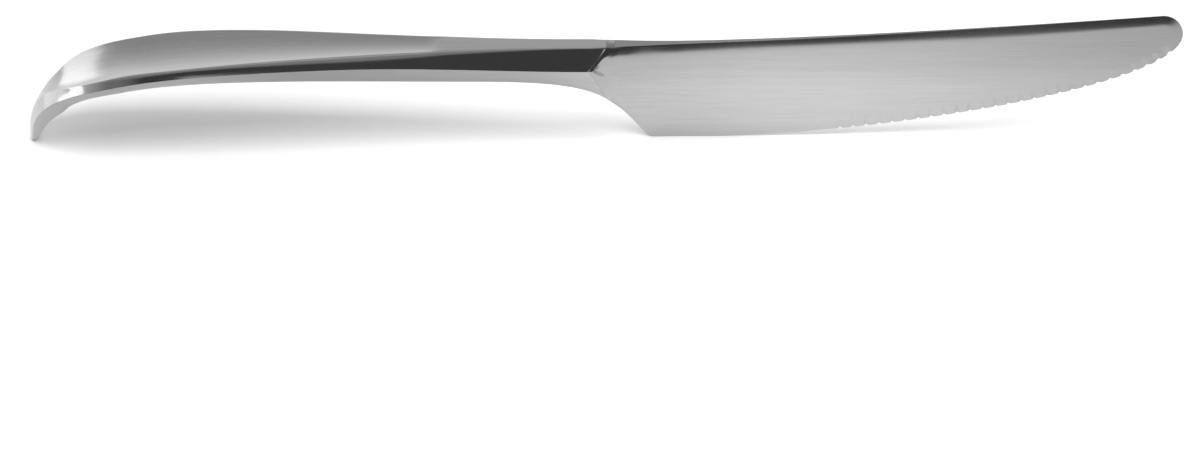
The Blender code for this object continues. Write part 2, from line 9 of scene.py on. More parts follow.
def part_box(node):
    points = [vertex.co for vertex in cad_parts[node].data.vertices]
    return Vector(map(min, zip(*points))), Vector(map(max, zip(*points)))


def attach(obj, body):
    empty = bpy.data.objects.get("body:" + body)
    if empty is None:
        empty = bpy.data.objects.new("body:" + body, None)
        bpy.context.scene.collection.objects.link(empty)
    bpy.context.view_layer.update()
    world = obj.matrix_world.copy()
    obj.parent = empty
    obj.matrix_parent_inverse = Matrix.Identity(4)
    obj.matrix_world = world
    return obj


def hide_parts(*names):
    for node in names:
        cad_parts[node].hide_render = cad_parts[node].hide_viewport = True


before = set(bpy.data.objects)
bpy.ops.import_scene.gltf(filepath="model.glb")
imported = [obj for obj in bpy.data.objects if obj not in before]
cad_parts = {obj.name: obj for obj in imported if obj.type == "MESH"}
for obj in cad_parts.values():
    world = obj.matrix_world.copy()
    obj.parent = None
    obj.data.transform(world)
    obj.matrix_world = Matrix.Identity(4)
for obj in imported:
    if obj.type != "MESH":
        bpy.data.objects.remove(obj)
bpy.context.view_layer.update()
print("frame loaded with", len(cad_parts), "solids")


# sums of shader values, written as plain sums
class Signal:
    def __init__(self, sheet, socket):
        self.sheet = sheet
        self.socket = socket

    def maths(self, operation, first, second):
        return self.sheet.node("ShaderNodeMath", {"operation": operation}, {0: first, 1: second})

    def __add__(self, other):
        return self.maths("ADD", self, other)

    def __radd__(self, other):
        return self.maths("ADD", other, self)

    def __sub__(self, other):
        return self.maths("SUBTRACT", self, other)

    def __rsub__(self, other):
        return self.maths("SUBTRACT", other, self)

    def __mul__(self, other):
        return self.maths("MULTIPLY", self, other)

    def __rmul__(self, other):
        return self.maths("MULTIPLY", other, self)


class Sheet:
    # the nodes of one finish, or of the room round the knife
    def __init__(self, owner):
        owner.use_nodes = True
        self.tree = owner.node_tree

    def node(self, kind, settings=None, sockets=None, output=0):
        made = self.tree.nodes.new(kind)
        for name, value in (settings or {}).items():
            if name == "stops":
                self.setStops(made.color_ramp, value)
            else:
                setattr(made, name, value)
        for name, value in (sockets or {}).items():
            self.feed(made.inputs[name], value)
        return Signal(self, made.outputs[output])

    def setStops(self, ramp, stops):
        while len(ramp.elements) < len(stops):
            ramp.elements.new(1.0)
        for element, (place, grey) in zip(ramp.elements, stops):
            element.position = place
            element.color = (grey, grey, grey, 1.0)

    def feed(self, socket, value):
        if isinstance(value, Signal):
            self.tree.links.new(value.socket, socket)
        else:
            socket.default_value = value

    def ramp(self, value, low, high, start=0.0, end=1.0):
        return self.node("ShaderNodeMapRange", {"interpolation_type": "SMOOTHSTEP"},
                         {"Value": value, "From Min": low, "From Max": high, "To Min": start, "To Max": end})

    def noise(self, place, lengths, detail=3.0, roughness=0.55):
        scaled = self.node("ShaderNodeMapping", {"vector_type": "POINT"},
                           {"Vector": place, "Scale": [1.0 / length for length in lengths]})
        return self.node("ShaderNodeTexNoise", {}, {"Vector": scaled, "Scale": 1.0, "Detail": detail,
                                                    "Roughness": roughness})

    def mixColour(self, share, first, second):
        return self.node("ShaderNodeMix", {"data_type": "RGBA"},
                         {"Factor": share, "A": (*first, 1.0), "B": (*second, 1.0)}, "Result")


# finishes
grainNoise = {"mean": 0.5, "fine": 4.0, "fineRough": 0.65, "broad": 2.0, "sandy": 3.0, "darkEnd": 0.25,
              "lightEnd": 0.75}


def satinSteel(name, look):
    steel = bpy.data.materials.new(name)
    sheet = Sheet(steel)
    shader = steel.node_tree.nodes["Principled BSDF"]
    place = sheet.node("ShaderNodeTexCoord", output="Object")
    hair = sheet.noise(place, look["hair"], grainNoise["fine"], grainNoise["fineRough"])
    band = sheet.noise(place, look["band"], grainNoise["broad"])
    cloud = sheet.noise(place, look["cloud"], grainNoise["broad"])
    grain = hair * look["hairShare"] + band * (1.0 - look["hairShare"])
    clouded = grain + (cloud - grainNoise["mean"]) * look["cloudShare"]
    shade = sheet.ramp(clouded, grainNoise["darkEnd"], grainNoise["lightEnd"])
    tint = sheet.mixColour(shade, look["dark"], look["light"])
    # a painted fade is an axis, two places on it and the factor on the tint at each; it paints the light and
    # shade of the room's reflections into the steel's colour
    for axis, *paintedTone in look.get("paintedShading", []):
        along = sheet.node("ShaderNodeSeparateXYZ", {}, {"Vector": place}, axis)
        tint = sheet.node("ShaderNodeVectorMath", {"operation": "SCALE"},
                          {0: tint, "Scale": sheet.ramp(along, *paintedTone)})
    sheet.feed(shader.inputs["Base Color"], tint)
    uneven = (grain - grainNoise["mean"]) * look["roughSpan"]
    sheet.feed(shader.inputs["Roughness"], look["roughness"] + uneven)
    sheet.feed(shader.inputs["Metallic"], 1.0)
    sheet.feed(shader.inputs["Normal"], sheet.node(
        "ShaderNodeBump", {}, {"Strength": look["bump"], "Distance": look["depth"], "Height": grain}))
    return steel


bladeLook = {"dark": (0.455, 0.455, 0.455), "light": (0.545, 0.545, 0.545),
             "roughness": 0.22, "roughSpan": 0.06,
             "hair": (0.010, 0.00009, 0.00009), "band": (0.03, 0.0006, 0.0006), "cloud": (0.03, 0.01, 0.01),
             "hairShare": 0.7, "cloudShare": 0.12, "bump": 0.05, "depth": 0.00005,
             # painted shade: the tint is darker by the neck, towards the nose and towards the spine, standing
             # in for the room's reflections
             "paintedShading": [("X", -0.002, 0.040, 0.88, 1.0), ("X", 0.03, 0.118, 1.0, 0.74),
                       ("Z", 0.009, 0.0205, 1.0, 0.81)]}
handleLook = {"dark": (0.48, 0.48, 0.48), "light": (0.56, 0.56, 0.56), "roughness": 0.16, "roughSpan": 0.05,
              "hair": (0.010, 0.00010, 0.00010), "band": (0.04, 0.0010, 0.0010), "cloud": (0.03, 0.01, 0.01),
              "hairShare": 0.7, "cloudShare": 0.12, "bump": 0.05, "depth": 0.00005}
# the handle's steel with painted light and shade: lighter at the hook, darker past it towards the mouth
keelShadedLook = {**handleLook, "paintedShading": [("X", -0.1125, -0.1000, 1.35, 0.84)]}
groundLook = {"dark": (0.45, 0.45, 0.45), "light": (0.54, 0.54, 0.54), "roughness": 0.20, "roughSpan": 0.12,
              "hair": (0.00009, 0.004, 0.004), "band": (0.0003, 0.01, 0.01), "cloud": (0.01, 0.01, 0.01),
              "hairShare": 0.6, "cloudShare": 0.2, "bump": 0.20, "depth": 0.00006,
              # painted shade: the ground scallops are darker towards the nose
              "paintedShading": [("X", 0.03, 0.118, 1.0, 0.68)]}
brazeLook = {"dark": (0.52, 0.40, 0.20), "light": (0.78, 0.66, 0.42), "roughness": 0.42, "roughSpan": 0.25,
             "hair": (0.0004, 0.0004, 0.0004), "band": (0.002, 0.001, 0.001), "cloud": (0.005, 0.005, 0.005),
             "hairShare": 0.4, "cloudShare": 0.5, "bump": 0.3, "depth": 0.0001}
bladeSteel = satinSteel("bladeSteel", bladeLook)
handleSteel = satinSteel("handleSteel", handleLook)
keelShadedSteel = satinSteel("keelShadedSteel", keelShadedLook)
groundSteel = satinSteel("groundSteel", groundLook)
brazeMetal = satinSteel("brazeMetal", brazeLook)

cementLook = {"dark": (0.36, 0.34, 0.31), "light": (0.60, 0.57, 0.52), "roughness": 0.9, "sand": 0.0005,
              "patch": 0.004, "sandShare": 0.6, "darkEnd": 0.3, "lightEnd": 0.7, "bump": 0.5, "depth": 0.0002}


def pouredCement(name, look):
    cement = bpy.data.materials.new(name)
    sheet = Sheet(cement)
    shader = cement.node_tree.nodes["Principled BSDF"]
    place = sheet.node("ShaderNodeTexCoord", output="Object")
    sand = sheet.noise(place, [look["sand"]] * 3, grainNoise["sandy"])
    patch = sheet.noise(place, [look["patch"]] * 3, grainNoise["broad"])
    mottle = sand * look["sandShare"] + patch * (1.0 - look["sandShare"])
    sheet.feed(shader.inputs["Base Color"], sheet.mixColour(
        sheet.ramp(mottle, look["darkEnd"], look["lightEnd"]), look["dark"], look["light"]))
    sheet.feed(shader.inputs["Roughness"], look["roughness"])
    sheet.feed(shader.inputs["Normal"], sheet.node(
        "ShaderNodeBump", {}, {"Strength": look["bump"], "Distance": look["depth"], "Height": sand}))
    return cement


tangCement = pouredCement("tangCement", cementLook)
print("finishes ready")


# curves
def bezierLine(controls, count):
    steps = np.linspace(0.0, 1.0, count)[:, None]
    rows = [np.tile(np.array(control, dtype=float), (count, 1)) for control in controls]
    while len(rows) > 1:
        rows = [first + (second - first) * steps for first, second in zip(rows, rows[1:])]
    return rows[0]


def runAlong(points):
    return np.concatenate(([0.0], np.cumsum(np.linalg.norm(np.diff(points, axis=0), axis=1))))


def ease(value):
    value = min(max(value, 0.0), 1.0)
    return value * value * (3.0 - 2.0 * value)


def between(first, second, share):
    return first + (second - first) * share


def smoothThrough(*pairs):
    places, sizes = np.array(pairs).T
    slopes = np.diff(sizes) / np.diff(places)
    tangents = np.zeros(len(sizes))
    for index in range(1, len(sizes) - 1):
        before, after = slopes[index - 1], slopes[index]
        if before * after > 0.0:
            tangents[index] = 2.0 * before * after / (before + after)

    def sizeAt(place):
        place = min(max(place, places[0]), places[-1])
        index = min(int(np.searchsorted(places, place, side="right")) - 1, len(slopes) - 1)
        run = places[index + 1] - places[index]
        share = (place - places[index]) / run
        leaving = tangents[index] * (1.0 - share) ** 2 * share
        arriving = tangents[index + 1] * share ** 2 * (1.0 - share)
        return between(sizes[index], sizes[index + 1], ease(share)) + run * (leaving - arriving)

    return sizeAt


curveSteps = {"blade": 600, "handle": 1200}

# blade sizes in metres, x from the point of the handle's mouth
blade = {"length": 0.1202, "top": 0.0209, "heel": 0.0116, "heelRadius": 0.0016, "neckHeight": 0.0127,
         "choilAngle": math.radians(50.0), "choilRun": 0.0126, "choilSweep": 0.0255, "choilStart": -0.0232,
         "bellyStart": 0.0220, "bellyRun": 0.0333, "nosePull": 0.0120, "noseAngle": math.radians(76.0),
         "noseRadius": 0.0040, "spineRise": 0.0055, "spineTilt": math.radians(4.2),
         "spineThick": 0.0030, "heelThick": 0.0008, "noseThick": 0.0011, "edgeLand": 0.00012,
         "bevelHeight": 0.0014, "bevelFrom": 0.0260, "bevelTo": 0.0440, "edgeLean": 0.3,
         "softNeck": 0.00047, "softSpine": 0.00064, "softNose": 0.00068, "softCap": 0.90,
         "softNeckAt": 0.012, "softSpineAt": 0.026, "softNoseAt": 0.085,
         "spineRound": 0.0030, "noseRound": 0.0022, "spineLean": 0.55, "noseLean": 0.78,
         "leanFrom": 0.0500, "leanTo": 0.0850, "roundLean": 0.6, "neckFade": 0.0180, "neckPower": 1.8,
         "choilRound": 0.0005, "bolster": 0.0008, "spigot": 0.0030, "spigotGap": 0.0003,
         "tangLength": 0.0360, "tangThick": 0.0016, "tangWide": 0.0032, "tangTip": 0.0024,
         "notches": 3, "notchDepth": 0.0005, "notchLength": 0.0030}

# handle sizes in metres, places measured along its top line from the foot
handle = {"length": 0.1142, "topRun": 0.0715, "hookRun": 0.0250, "hookAngle": math.radians(100.0),
          "curlEnd": 0.0115, "tongueStart": 0.0080, "tongueEnd": 0.0150, "shoulder": 0.0188, "widest": 0.0280,
          "rimSettled": 0.0420, "waist": 0.0500,
          "footWide": 0.0024, "leaf": 1.10, "wide": 0.0212, "neckWide": 0.0086,
          "rimHook": 0.0014, "rimBody": 0.0004, "rimMouth": 0.0020,
          "ridge": 0.0008, "tongueWide": 0.0084, "shoulderWide": 0.0146,
          "sideFoot": 0.0005, "sideCurl": 0.0011, "sideBody": 0.0015, "sideWaist": 0.0023,
          "sideMouth": 0.0044,
          "keelFoot": 0.0012, "keelCurl": 0.0060, "keelBody": 0.0072, "keelNeck": 0.0082,
          "keelWideFoot": 0.0008, "keelWide": 0.0021,
          "dishStart": 0.0090, "dishDeepest": 0.0300, "dishFade": 0.0032, "dishEnd": 0.0305,
          "dishDepth": 0.0010, "dishNeck": 0.0004,
          "wall": 0.0009, "cavityStart": 0.0210, "cavityRunout": 0.0060,
          "setback": 0.0008, "slant": 0.0037, "slantBlend": 0.0150,
          "hairline": 0.00004, "lip": 0.00010, "bladeLip": 0.00006, "lipIn": 0.12, "lipOut": 0.06,
          "keelSoft": 0.0005, "keelSoftShare": 0.12, "keelSideCap": 0.3, "keelFlatCap": 0.8,
          "footRound": 0.0006, "footShrink": 0.45, "footMiddle": -0.0006, "flat": 0.9}

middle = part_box("blade")[1].x - blade["length"]  # from the mouth's point to the middle of the knife
noseDrop = blade["noseRadius"] * math.cos(blade["spineTilt"])
noseCentre = np.array([blade["length"] - blade["noseRadius"], blade["top"] + blade["spineRise"] - noseDrop])


def onNose(angle):
    return noseCentre + blade["noseRadius"] * np.array([math.sin(angle), -math.cos(angle)])


heel = np.array([blade["heel"], 0.0])
spineEnd = onNose(math.pi + blade["spineTilt"])
bellyEnd = onNose(blade["noseAngle"])
choilLine = bezierLine([
    (blade["choilStart"], blade["neckHeight"]),
    (blade["choilStart"] + blade["choilSweep"], blade["neckHeight"]),
    heel + blade["choilRun"] * np.array([-math.cos(blade["choilAngle"]), math.sin(blade["choilAngle"])]),
    heel], curveSteps["blade"])
bellyLine = bezierLine([
    (blade["bellyStart"], 0.0),
    (blade["bellyStart"] + blade["bellyRun"], 0.0),
    bellyEnd - blade["nosePull"] * np.array([math.cos(blade["noseAngle"]), math.sin(blade["noseAngle"])]),
    bellyEnd], curveSteps["blade"])

rearX = handle["slant"] - handle["setback"] + handle["hairline"]
crownX = spineEnd[0] - blade["spineRise"] / math.tan(blade["spineTilt"])
spineLine = bezierLine([(rearX, blade["top"]), (crownX, blade["top"]), spineEnd], curveSteps["blade"])


def flankPlane():
    places = np.array([[1.0, 0.0, blade["top"]], [1.0, *heel], [1.0, *noseCentre]])
    thicknesses = np.array([blade["spineThick"], blade["heelThick"], blade["noseThick"]])
    return np.linalg.solve(places, thicknesses / 2)


flank = flankPlane()


def flankHalf(spot):
    return flank[0] + flank[1] * spot[0] + flank[2] * spot[1]


def spineHeight(x):
    return np.interp(x, spineLine[:, 0], spineLine[:, 1])


# the spine is flat inside its rounded borders, which take more of it towards the nose
softDepth = smoothThrough((blade["softNeckAt"], blade["softNeck"]),
                          (blade["softSpineAt"], blade["softSpine"]),
                          (blade["softNoseAt"], blade["softNose"]))


def spineLand(spot):
    half = flankHalf(spot)
    return half - min(softDepth(spot[0]), blade["softCap"] * half)


# how far the handle's rim is rounded, from hook to mouth
rimSofts = {"hook": 0.00025, "settled": 0.0013, "waist": 0.0020, "neck": 0.0010, "mouth": 0.0003,
            "neckStart": 0.0240, "topShare": 0.65, "topCap": 0.45, "sideCap": 0.85}

foot = np.array([-handle["length"], 0.0])
topLine = bezierLine([
    foot,
    foot + handle["hookRun"] * np.array([math.cos(handle["hookAngle"]), math.sin(handle["hookAngle"])]),
    (-handle["topRun"], blade["top"]),
    (0.0, blade["top"])], curveSteps["handle"])
topPlaces = runAlong(topLine)
mouth = topPlaces[-1]
topTurns = np.gradient(topLine, axis=0)
topAngles = np.minimum(np.arctan2(topTurns[:, 1], topTurns[:, 0]), math.pi / 2)

rimInset = smoothThrough((handle["widest"], handle["rimHook"]), (handle["rimSettled"], handle["rimBody"]),
                         (mouth, handle["rimMouth"]))
tongueHalf = smoothThrough((handle["tongueStart"], handle["ridge"] / 2),
                           (handle["tongueEnd"], handle["tongueWide"] / 2),
                           (handle["shoulder"], handle["shoulderWide"] / 2),
                           (handle["widest"], handle["wide"] / 2))
sideDepth = smoothThrough((0.0, handle["sideFoot"]), (handle["curlEnd"], handle["sideCurl"]),
                          (handle["widest"], handle["sideBody"]),
                          (mouth - handle["waist"], handle["sideWaist"]), (mouth, handle["sideMouth"]))
bodyDepth = smoothThrough((handle["curlEnd"], handle["keelCurl"]), (handle["widest"], handle["keelBody"]),
                          (mouth + blade["choilStart"], handle["keelNeck"]))
keelHalf = smoothThrough((0.0, handle["keelWideFoot"] / 2), (handle["widest"], handle["keelWide"] / 2))
dishDepth = smoothThrough((handle["dishStart"], 0.0), (handle["dishDeepest"], handle["dishDepth"]),
                          (mouth - handle["dishEnd"] - handle["dishFade"], handle["dishNeck"]),
                          (mouth - handle["dishEnd"], 0.0))
rimSoft = smoothThrough((handle["shoulder"], rimSofts["hook"]), (handle["rimSettled"], rimSofts["settled"]),
                        (mouth - handle["waist"], rimSofts["waist"]),
                        (mouth - rimSofts["neckStart"], rimSofts["neck"]), (mouth, rimSofts["mouth"]))


def seamHalf(place):
    if place < handle["widest"]:
        share = (max(place, 0.0) / handle["widest"]) ** handle["leaf"]
        return between(handle["footWide"], handle["wide"], math.sin(math.pi / 2 * share)) / 2
    share = min((place - handle["widest"]) / (mouth - handle["widest"]), 1.0)
    return between(handle["neckWide"], handle["wide"], (1.0 + math.cos(math.pi * share)) / 2) / 2


# past the mouth the rim runs on as the border of the blade's spine
def rimHalf(place):
    half = max(min(seamHalf(place) - rimInset(place), tongueHalf(place)), handle["ridge"] / 2)
    if place <= mouth:
        return half
    x = place - mouth
    drawn = 1.0 - max(1.0 - x / blade["neckFade"], 0.0) ** blade["neckPower"]
    return between(half, spineLand((x, spineHeight(x))), drawn)


def keelDepth(place):
    if place < handle["curlEnd"]:
        share = math.sin(math.pi / 2 * max(place, 0.0) / handle["curlEnd"])
        return between(handle["keelFoot"], handle["keelCurl"], share)
    if place < mouth + blade["choilStart"]:
        return bodyDepth(place)
    return blade["top"] - np.interp(place - mouth, choilLine[:, 0], choilLine[:, 1])


def drawnIn(start, end, inset):
    direction = (end - start) / np.linalg.norm(end - start)
    return start + inset * np.array([direction[1], -direction[0]]), direction


def crossing(first, second):
    shares = np.linalg.solve(np.column_stack((first[1], -second[1])), second[0] - first[0])
    return first[0] + shares[0] * first[1]


def corners(place, inset=0.0):
    rim = np.array([rimHalf(place), 0.0])
    seam = np.array([seamHalf(place), -sideDepth(place)])
    keel = np.array([keelHalf(place), -keelDepth(place)])
    if inset == 0.0:
        return rim, seam, keel
    level = np.array([1.0, 0.0])
    top = (rim - np.array([0.0, inset]), level)
    side = drawnIn(rim, seam, inset)
    lower = drawnIn(seam, keel, inset)
    bottom = (keel + np.array([0.0, inset]), level)
    return crossing(top, side), crossing(side, lower), crossing(lower, bottom)


# level 0 is the middle of the top, 1 the rim, 2 the seam, 3 the keel and 4 its middle
def sectionPoint(place, level, inset=0.0):
    rim, seam, keel = corners(place, inset)
    if level <= 1.0:
        return np.array([rim[0] * level, rim[1] - dishDepth(place) * (1.0 - level * level)])
    if level <= 2.0:
        return between(rim, seam, level - 1.0)
    if level <= 3.0:
        return between(seam, keel, level - 2.0)
    return np.array([keel[0] * (4.0 - level), keel[1]])


def inSpace(place, point, side=1.0):
    if place > mouth:
        return Vector((place - mouth + middle, side * point[0], blade["top"] + point[1]))
    angle = np.interp(place, topPlaces, topAngles)
    x = np.interp(place, topPlaces, topLine[:, 0]) - point[1] * math.sin(angle)
    z = np.interp(place, topPlaces, topLine[:, 1]) + point[1] * math.cos(angle)
    return Vector((x + middle, side * point[0], z))


def mouthPlace(level):
    return mouth - handle["setback"] + handle["slant"] * min(abs(level - 2.0), 1.0)


def seamLevels(place, inset):
    rim, seam, keel = corners(place, inset)
    up, down = np.linalg.norm(rim - seam), np.linalg.norm(keel - seam)
    halfAngle = math.acos(np.dot(rim - seam, keel - seam) / (up * down)) / 2
    back = handle["hairline"] / 2 / math.sin(halfAngle)
    return 2.0 - back / up, 2.0 + back / down


meshing = {"weld": 1e-7, "sharp": math.radians(30.0)}


def solidPiece(name, vertices, faces, finish):
    mesh = bpy.data.meshes.new(name)
    mesh.from_pydata([tuple(vertex) for vertex in vertices], [], faces)
    work = bmesh.new()
    work.from_mesh(mesh)
    bmesh.ops.remove_doubles(work, verts=work.verts, dist=meshing["weld"])
    bmesh.ops.recalc_face_normals(work, faces=work.faces)
    work.to_mesh(mesh)
    work.free()
    mesh.materials.append(finish)
    mesh.shade_smooth()
    mesh.set_sharp_from_angle(angle=meshing["sharp"])
    piece = bpy.data.objects.new(name, mesh)
    bpy.context.collection.objects.link(piece)
    return piece


def ringFaces(rings, first=0):
    count = len(rings[0])
    faces = []
    for row in range(len(rings) - 1):
        here = first + row * count
        for column in range(count):
            after = (column + 1) % count
            faces.append((here + column, here + after, here + count + after, here + count + column))
    return faces


def dressNode(piece, node):
    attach(piece, "root")
    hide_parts(node)
    return piece


# the handle's two shells
shellSteps = {"foot": 8, "hook": 70, "body": 60, "neck": 40, "side": 6, "soft": 10, "top": 14, "keelFlat": 3}


def softened(place, level, corner, cutUp, cutDown):
    share = (level - (corner - cutUp)) / (cutUp + cutDown)
    first, turn, last = [sectionPoint(place, stop) for stop in (corner - cutUp, corner, corner + cutDown)]
    return between(between(first, turn, share), between(turn, last, share), share)


# shares of the top, the side, the lower side and the keel that the rounded corners take
def cuts(place):
    rim, seam, keel = corners(place)
    soft = rimSoft(place)
    low = min(handle["keelSoft"], handle["keelSoftShare"] * keelDepth(place))
    return (min(soft * rimSofts["topShare"] / rim[0], rimSofts["topCap"]),
            min(soft / np.linalg.norm(rim - seam), rimSofts["sideCap"]),
            min(low / np.linalg.norm(keel - seam), handle["keelSideCap"]),
            min(low / keel[0], handle["keelFlatCap"]))


def outerPoint(place, level):
    topCut, sideCut, lowCut, flatCut = cuts(place)
    if 1.0 - topCut < level < 1.0 + sideCut:
        return softened(place, level, 1.0, topCut, sideCut)
    if 3.0 - lowCut < level < 3.0 + flatCut:
        return softened(place, level, 3.0, lowCut, flatCut)
    return sectionPoint(place, level)


def shellLevels(place, upper):
    topCut, sideCut, lowCut, flatCut = cuts(place)
    steps = shellSteps
    if upper:
        return np.concatenate((np.linspace(2.0, 1.0 + sideCut, steps["side"], endpoint=False),
                               np.linspace(1.0 + sideCut, 1.0 - topCut, steps["soft"], endpoint=False),
                               np.linspace(1.0 - topCut, 0.0, steps["top"])))
    return np.concatenate((np.linspace(2.0, 3.0 - lowCut, steps["side"] + steps["top"], endpoint=False),
                           np.linspace(3.0 - lowCut, 3.0 + flatCut, steps["soft"], endpoint=False),
                           np.linspace(3.0 + flatCut, 4.0, steps["keelFlat"])))


# a fine lip catches the light along the upper half of the mouth
def lipped(point, level, depth):
    inward = np.array([0.0, -handle["sideMouth"]]) - point
    share = ease((level - 1.0) / handle["lipIn"]) * ease((2.0 - level) / handle["lipOut"])
    return point + inward * share * depth / np.linalg.norm(inward)


def shellRow(place, upper, wall):
    slantShare = ease(1.0 - (mouth - place) / handle["slantBlend"])
    opened = ease((place - handle["cavityStart"]) / handle["cavityRunout"])
    shrink = 1.0
    if place < handle["footRound"]:
        shrink = between(handle["footShrink"], 1.0, math.sqrt(1.0 - (1.0 - place / handle["footRound"]) ** 2))
    levels = shellLevels(min(place, mouth), upper)
    half = []
    for level in levels:
        here = place + (mouthPlace(level) - mouth) * slantShare
        trim = seamLevels(here, 0.0)[0 if upper else 1]
        if wall == 0.0:
            point = outerPoint(here, trim if level == 2.0 else level)
        else:
            edge = sectionPoint(here, trim)
            share = (level if upper else 4.0 - level) / 2.0
            point = np.array([edge[0] * share * handle["flat"], edge[1]])
            if opened > 0.0:
                innerTrim = seamLevels(here, wall)[0 if upper else 1]
                point = between(point, sectionPoint(here, innerTrim if level == 2.0 else level, wall), opened)
        if place == mouth and wall == 0.0:
            point = lipped(point, level, handle["lip"])
        point = np.array([point[0] * shrink, between(handle["footMiddle"], point[1], shrink)])
        half.append((here, point))
    return [inSpace(here, point, -1.0) for here, point in half] + [
        inSpace(here, point, 1.0) for here, point in reversed(half[:-1])]


def halfShell(name, upper):
    steps = shellSteps
    turns = np.linspace(0.0, math.pi / 2, steps["foot"], endpoint=False)
    neckStart = mouth + blade["choilStart"]
    places = np.concatenate((
        handle["footRound"] * (1.0 - np.cos(turns)),
        np.linspace(handle["footRound"], handle["widest"], steps["hook"], endpoint=False),
        np.linspace(handle["widest"], neckStart, steps["body"], endpoint=False),
        np.linspace(neckStart, mouth - handle["lip"], steps["neck"]), [mouth]))
    outer = [shellRow(place, upper, 0.0) for place in places]
    inner = [shellRow(place, upper, handle["wall"]) for place in places]
    rings = [out + list(reversed(into)) for out, into in zip(outer, inner)]
    count = len(outer[0])
    faces = ringFaces(rings)
    last = (len(rings) - 1) * 2 * count
    for column in range(count - 1):
        across = 2 * count - 1 - column
        faces.append((column, column + 1, across - 1, across))
        faces.append((last + column, last + column + 1, last + across - 1, last + across))
    vertices = [point for ring in rings for point in ring]
    return solidPiece(name, vertices, faces, handleSteel if upper else keelShadedSteel)


upperShell = dressNode(halfShell("upperShell", True), "handle_top_shell")
lowerShell = dressNode(halfShell("lowerShell", False), "handle_keel_shell")
print("handle shells:", len(upperShell.data.polygons) + len(lowerShell.data.polygons), "faces")

# the blade, its bolster, spigot and tang
bladeSteps = {"choil": 60, "heel": 12, "flat": 12, "belly": 150, "nose": 24, "border": 16, "flank": 40,
              "seamRow": 0.42, "spigot": 6, "tang": 60}
neck = {"run": 0.0011, "lowRun": 0.0026, "lowFrom": 0.0020, "edge": 0.0009,
        "flare": 0.0022, "flarePower": 6.6, "flareTop": 0.0030, "flareTall": 0.0080,
        "soft": 0.0003, "softBlade": 0.0001, "biteShare": 0.8,
        "border": 0.0046, "straight": 0.0120, "fadeStart": 0.0031, "fadeEnd": 0.0072, "end": 0.0600,
        "sharp": math.radians(30.0), "sharpBlade": math.radians(14.0)}
landEdge = blade["edgeLand"] / 2
seamHeight = blade["top"] - handle["sideMouth"]


def sampled(curve, count):
    places = runAlong(curve)
    wanted = np.linspace(0.0, places[-1], count)
    return np.column_stack([np.interp(wanted, places, curve[:, axis]) for axis in (0, 1)])


def smoothMin(first, second, reach):
    near = max(reach - abs(first - second), 0.0) / reach
    return min(first, second) - near * near * reach / 4


# half thickness: the flat flank, or behind it the plunge up to the handle's arrow-shaped section
def bladeHalf(x, z):
    plain = flankHalf((x, z))
    if x > neck["end"]:
        return plain
    rim, seam, _ = corners(mouth + min(x, rearX))
    top, low = spineHeight(x), np.interp(x, choilLine[:, 0], choilLine[:, 1])
    land = rimHalf(mouth + x)
    lowLand = between(handle["keelWide"] / 2, landEdge, ease((x - rearX) / (heel[0] - rearX)))
    upper = land - (top - z) * (seam[0] - rim[0]) / seam[1]
    lower = lowLand + (seam[0] - lowLand) * (z - low) / (seamHeight - low)
    if z > seamHeight:
        back = (z - seamHeight) / handle["sideMouth"]
    else:
        back = (seamHeight - z) / (seamHeight - low)
    start = rearX + blade["bolster"] - handle["slant"] * (1.0 - min(back, 1.0))
    lowness = ease((seamHeight - z) / neck["lowFrom"])
    share = min(max((x - start) / between(neck["run"], neck["lowRun"], lowness), 0.0), 1.0)
    plunge = between((1.0 - share) ** 2, 1.0 - ease(share), lowness)
    flare = neck["flare"] * max(1.0 - x / neck["end"], 0.0) ** neck["flarePower"]
    flare *= 1.0 - ease((top - z - neck["flareTop"]) / neck["flareTall"])
    grip = min(upper, lower)
    return between(smoothMin(grip, plain + flare, neck["edge"]), grip, plunge)


# each border point carries (half land, width, roundness, lean of the round); the edge is blunt by the heel
def edgeBorder(x):
    share = ease((x - blade["bevelFrom"]) / (blade["bevelTo"] - blade["bevelFrom"]))
    return landEdge, between(blade["choilRound"], blade["bevelHeight"], share), 1.0 - share, blade["edgeLean"]


def lowerChain():
    steps = bladeSteps
    tangent = blade["heelRadius"] * math.tan(blade["choilAngle"] / 2)
    rearLand = handle["keelWide"] / 2 - handle["keelSoft"]
    points, borders = [], []
    for share in np.linspace(0.0, 1.0, steps["choil"]):
        x = between(rearX, heel[0] - tangent * math.cos(blade["choilAngle"]), share)
        points.append((x, np.interp(x, choilLine[:, 0], choilLine[:, 1])))
        land = between(rearLand, landEdge, ease(share))
        borders.append((land, blade["choilRound"], 1.0, blade["roundLean"]))
    for share in np.linspace(0.0, 1.0, steps["heel"] + 1)[1:]:
        turn = blade["choilAngle"] * (1.0 - share)
        points.append((heel[0] + tangent - blade["heelRadius"] * math.sin(turn),
                       blade["heelRadius"] * (1.0 - math.cos(turn))))
        lean = between(blade["roundLean"], blade["edgeLean"], share)
        borders.append((landEdge, blade["choilRound"], 1.0, lean))
    flat = [(x, 0.0) for x in np.linspace(heel[0] + tangent, blade["bellyStart"], steps["flat"] + 1)[1:-1]]
    for point in flat + [tuple(spot) for spot in sampled(bellyLine, steps["belly"])]:
        points.append(point)
        borders.append(edgeBorder(point[0]))
    return points, borders


def noseBorder(share):
    land = between(landEdge, spineLand(spineEnd), share)
    return land, between(blade["bevelHeight"], blade["noseRound"], share), share, blade["noseLean"]


def spineBorder(point):
    x = point[0]
    width = between(blade["spineRound"], blade["noseRound"], (x - rearX) / (spineEnd[0] - rearX))
    leanShare = ease((x - blade["leanFrom"]) / (blade["leanTo"] - blade["leanFrom"]))
    lean = between(blade["spineLean"], blade["noseLean"], leanShare)
    return rimHalf(mouth + x), between(neck["border"], width, ease(x / blade["neckFade"])), 1.0, lean


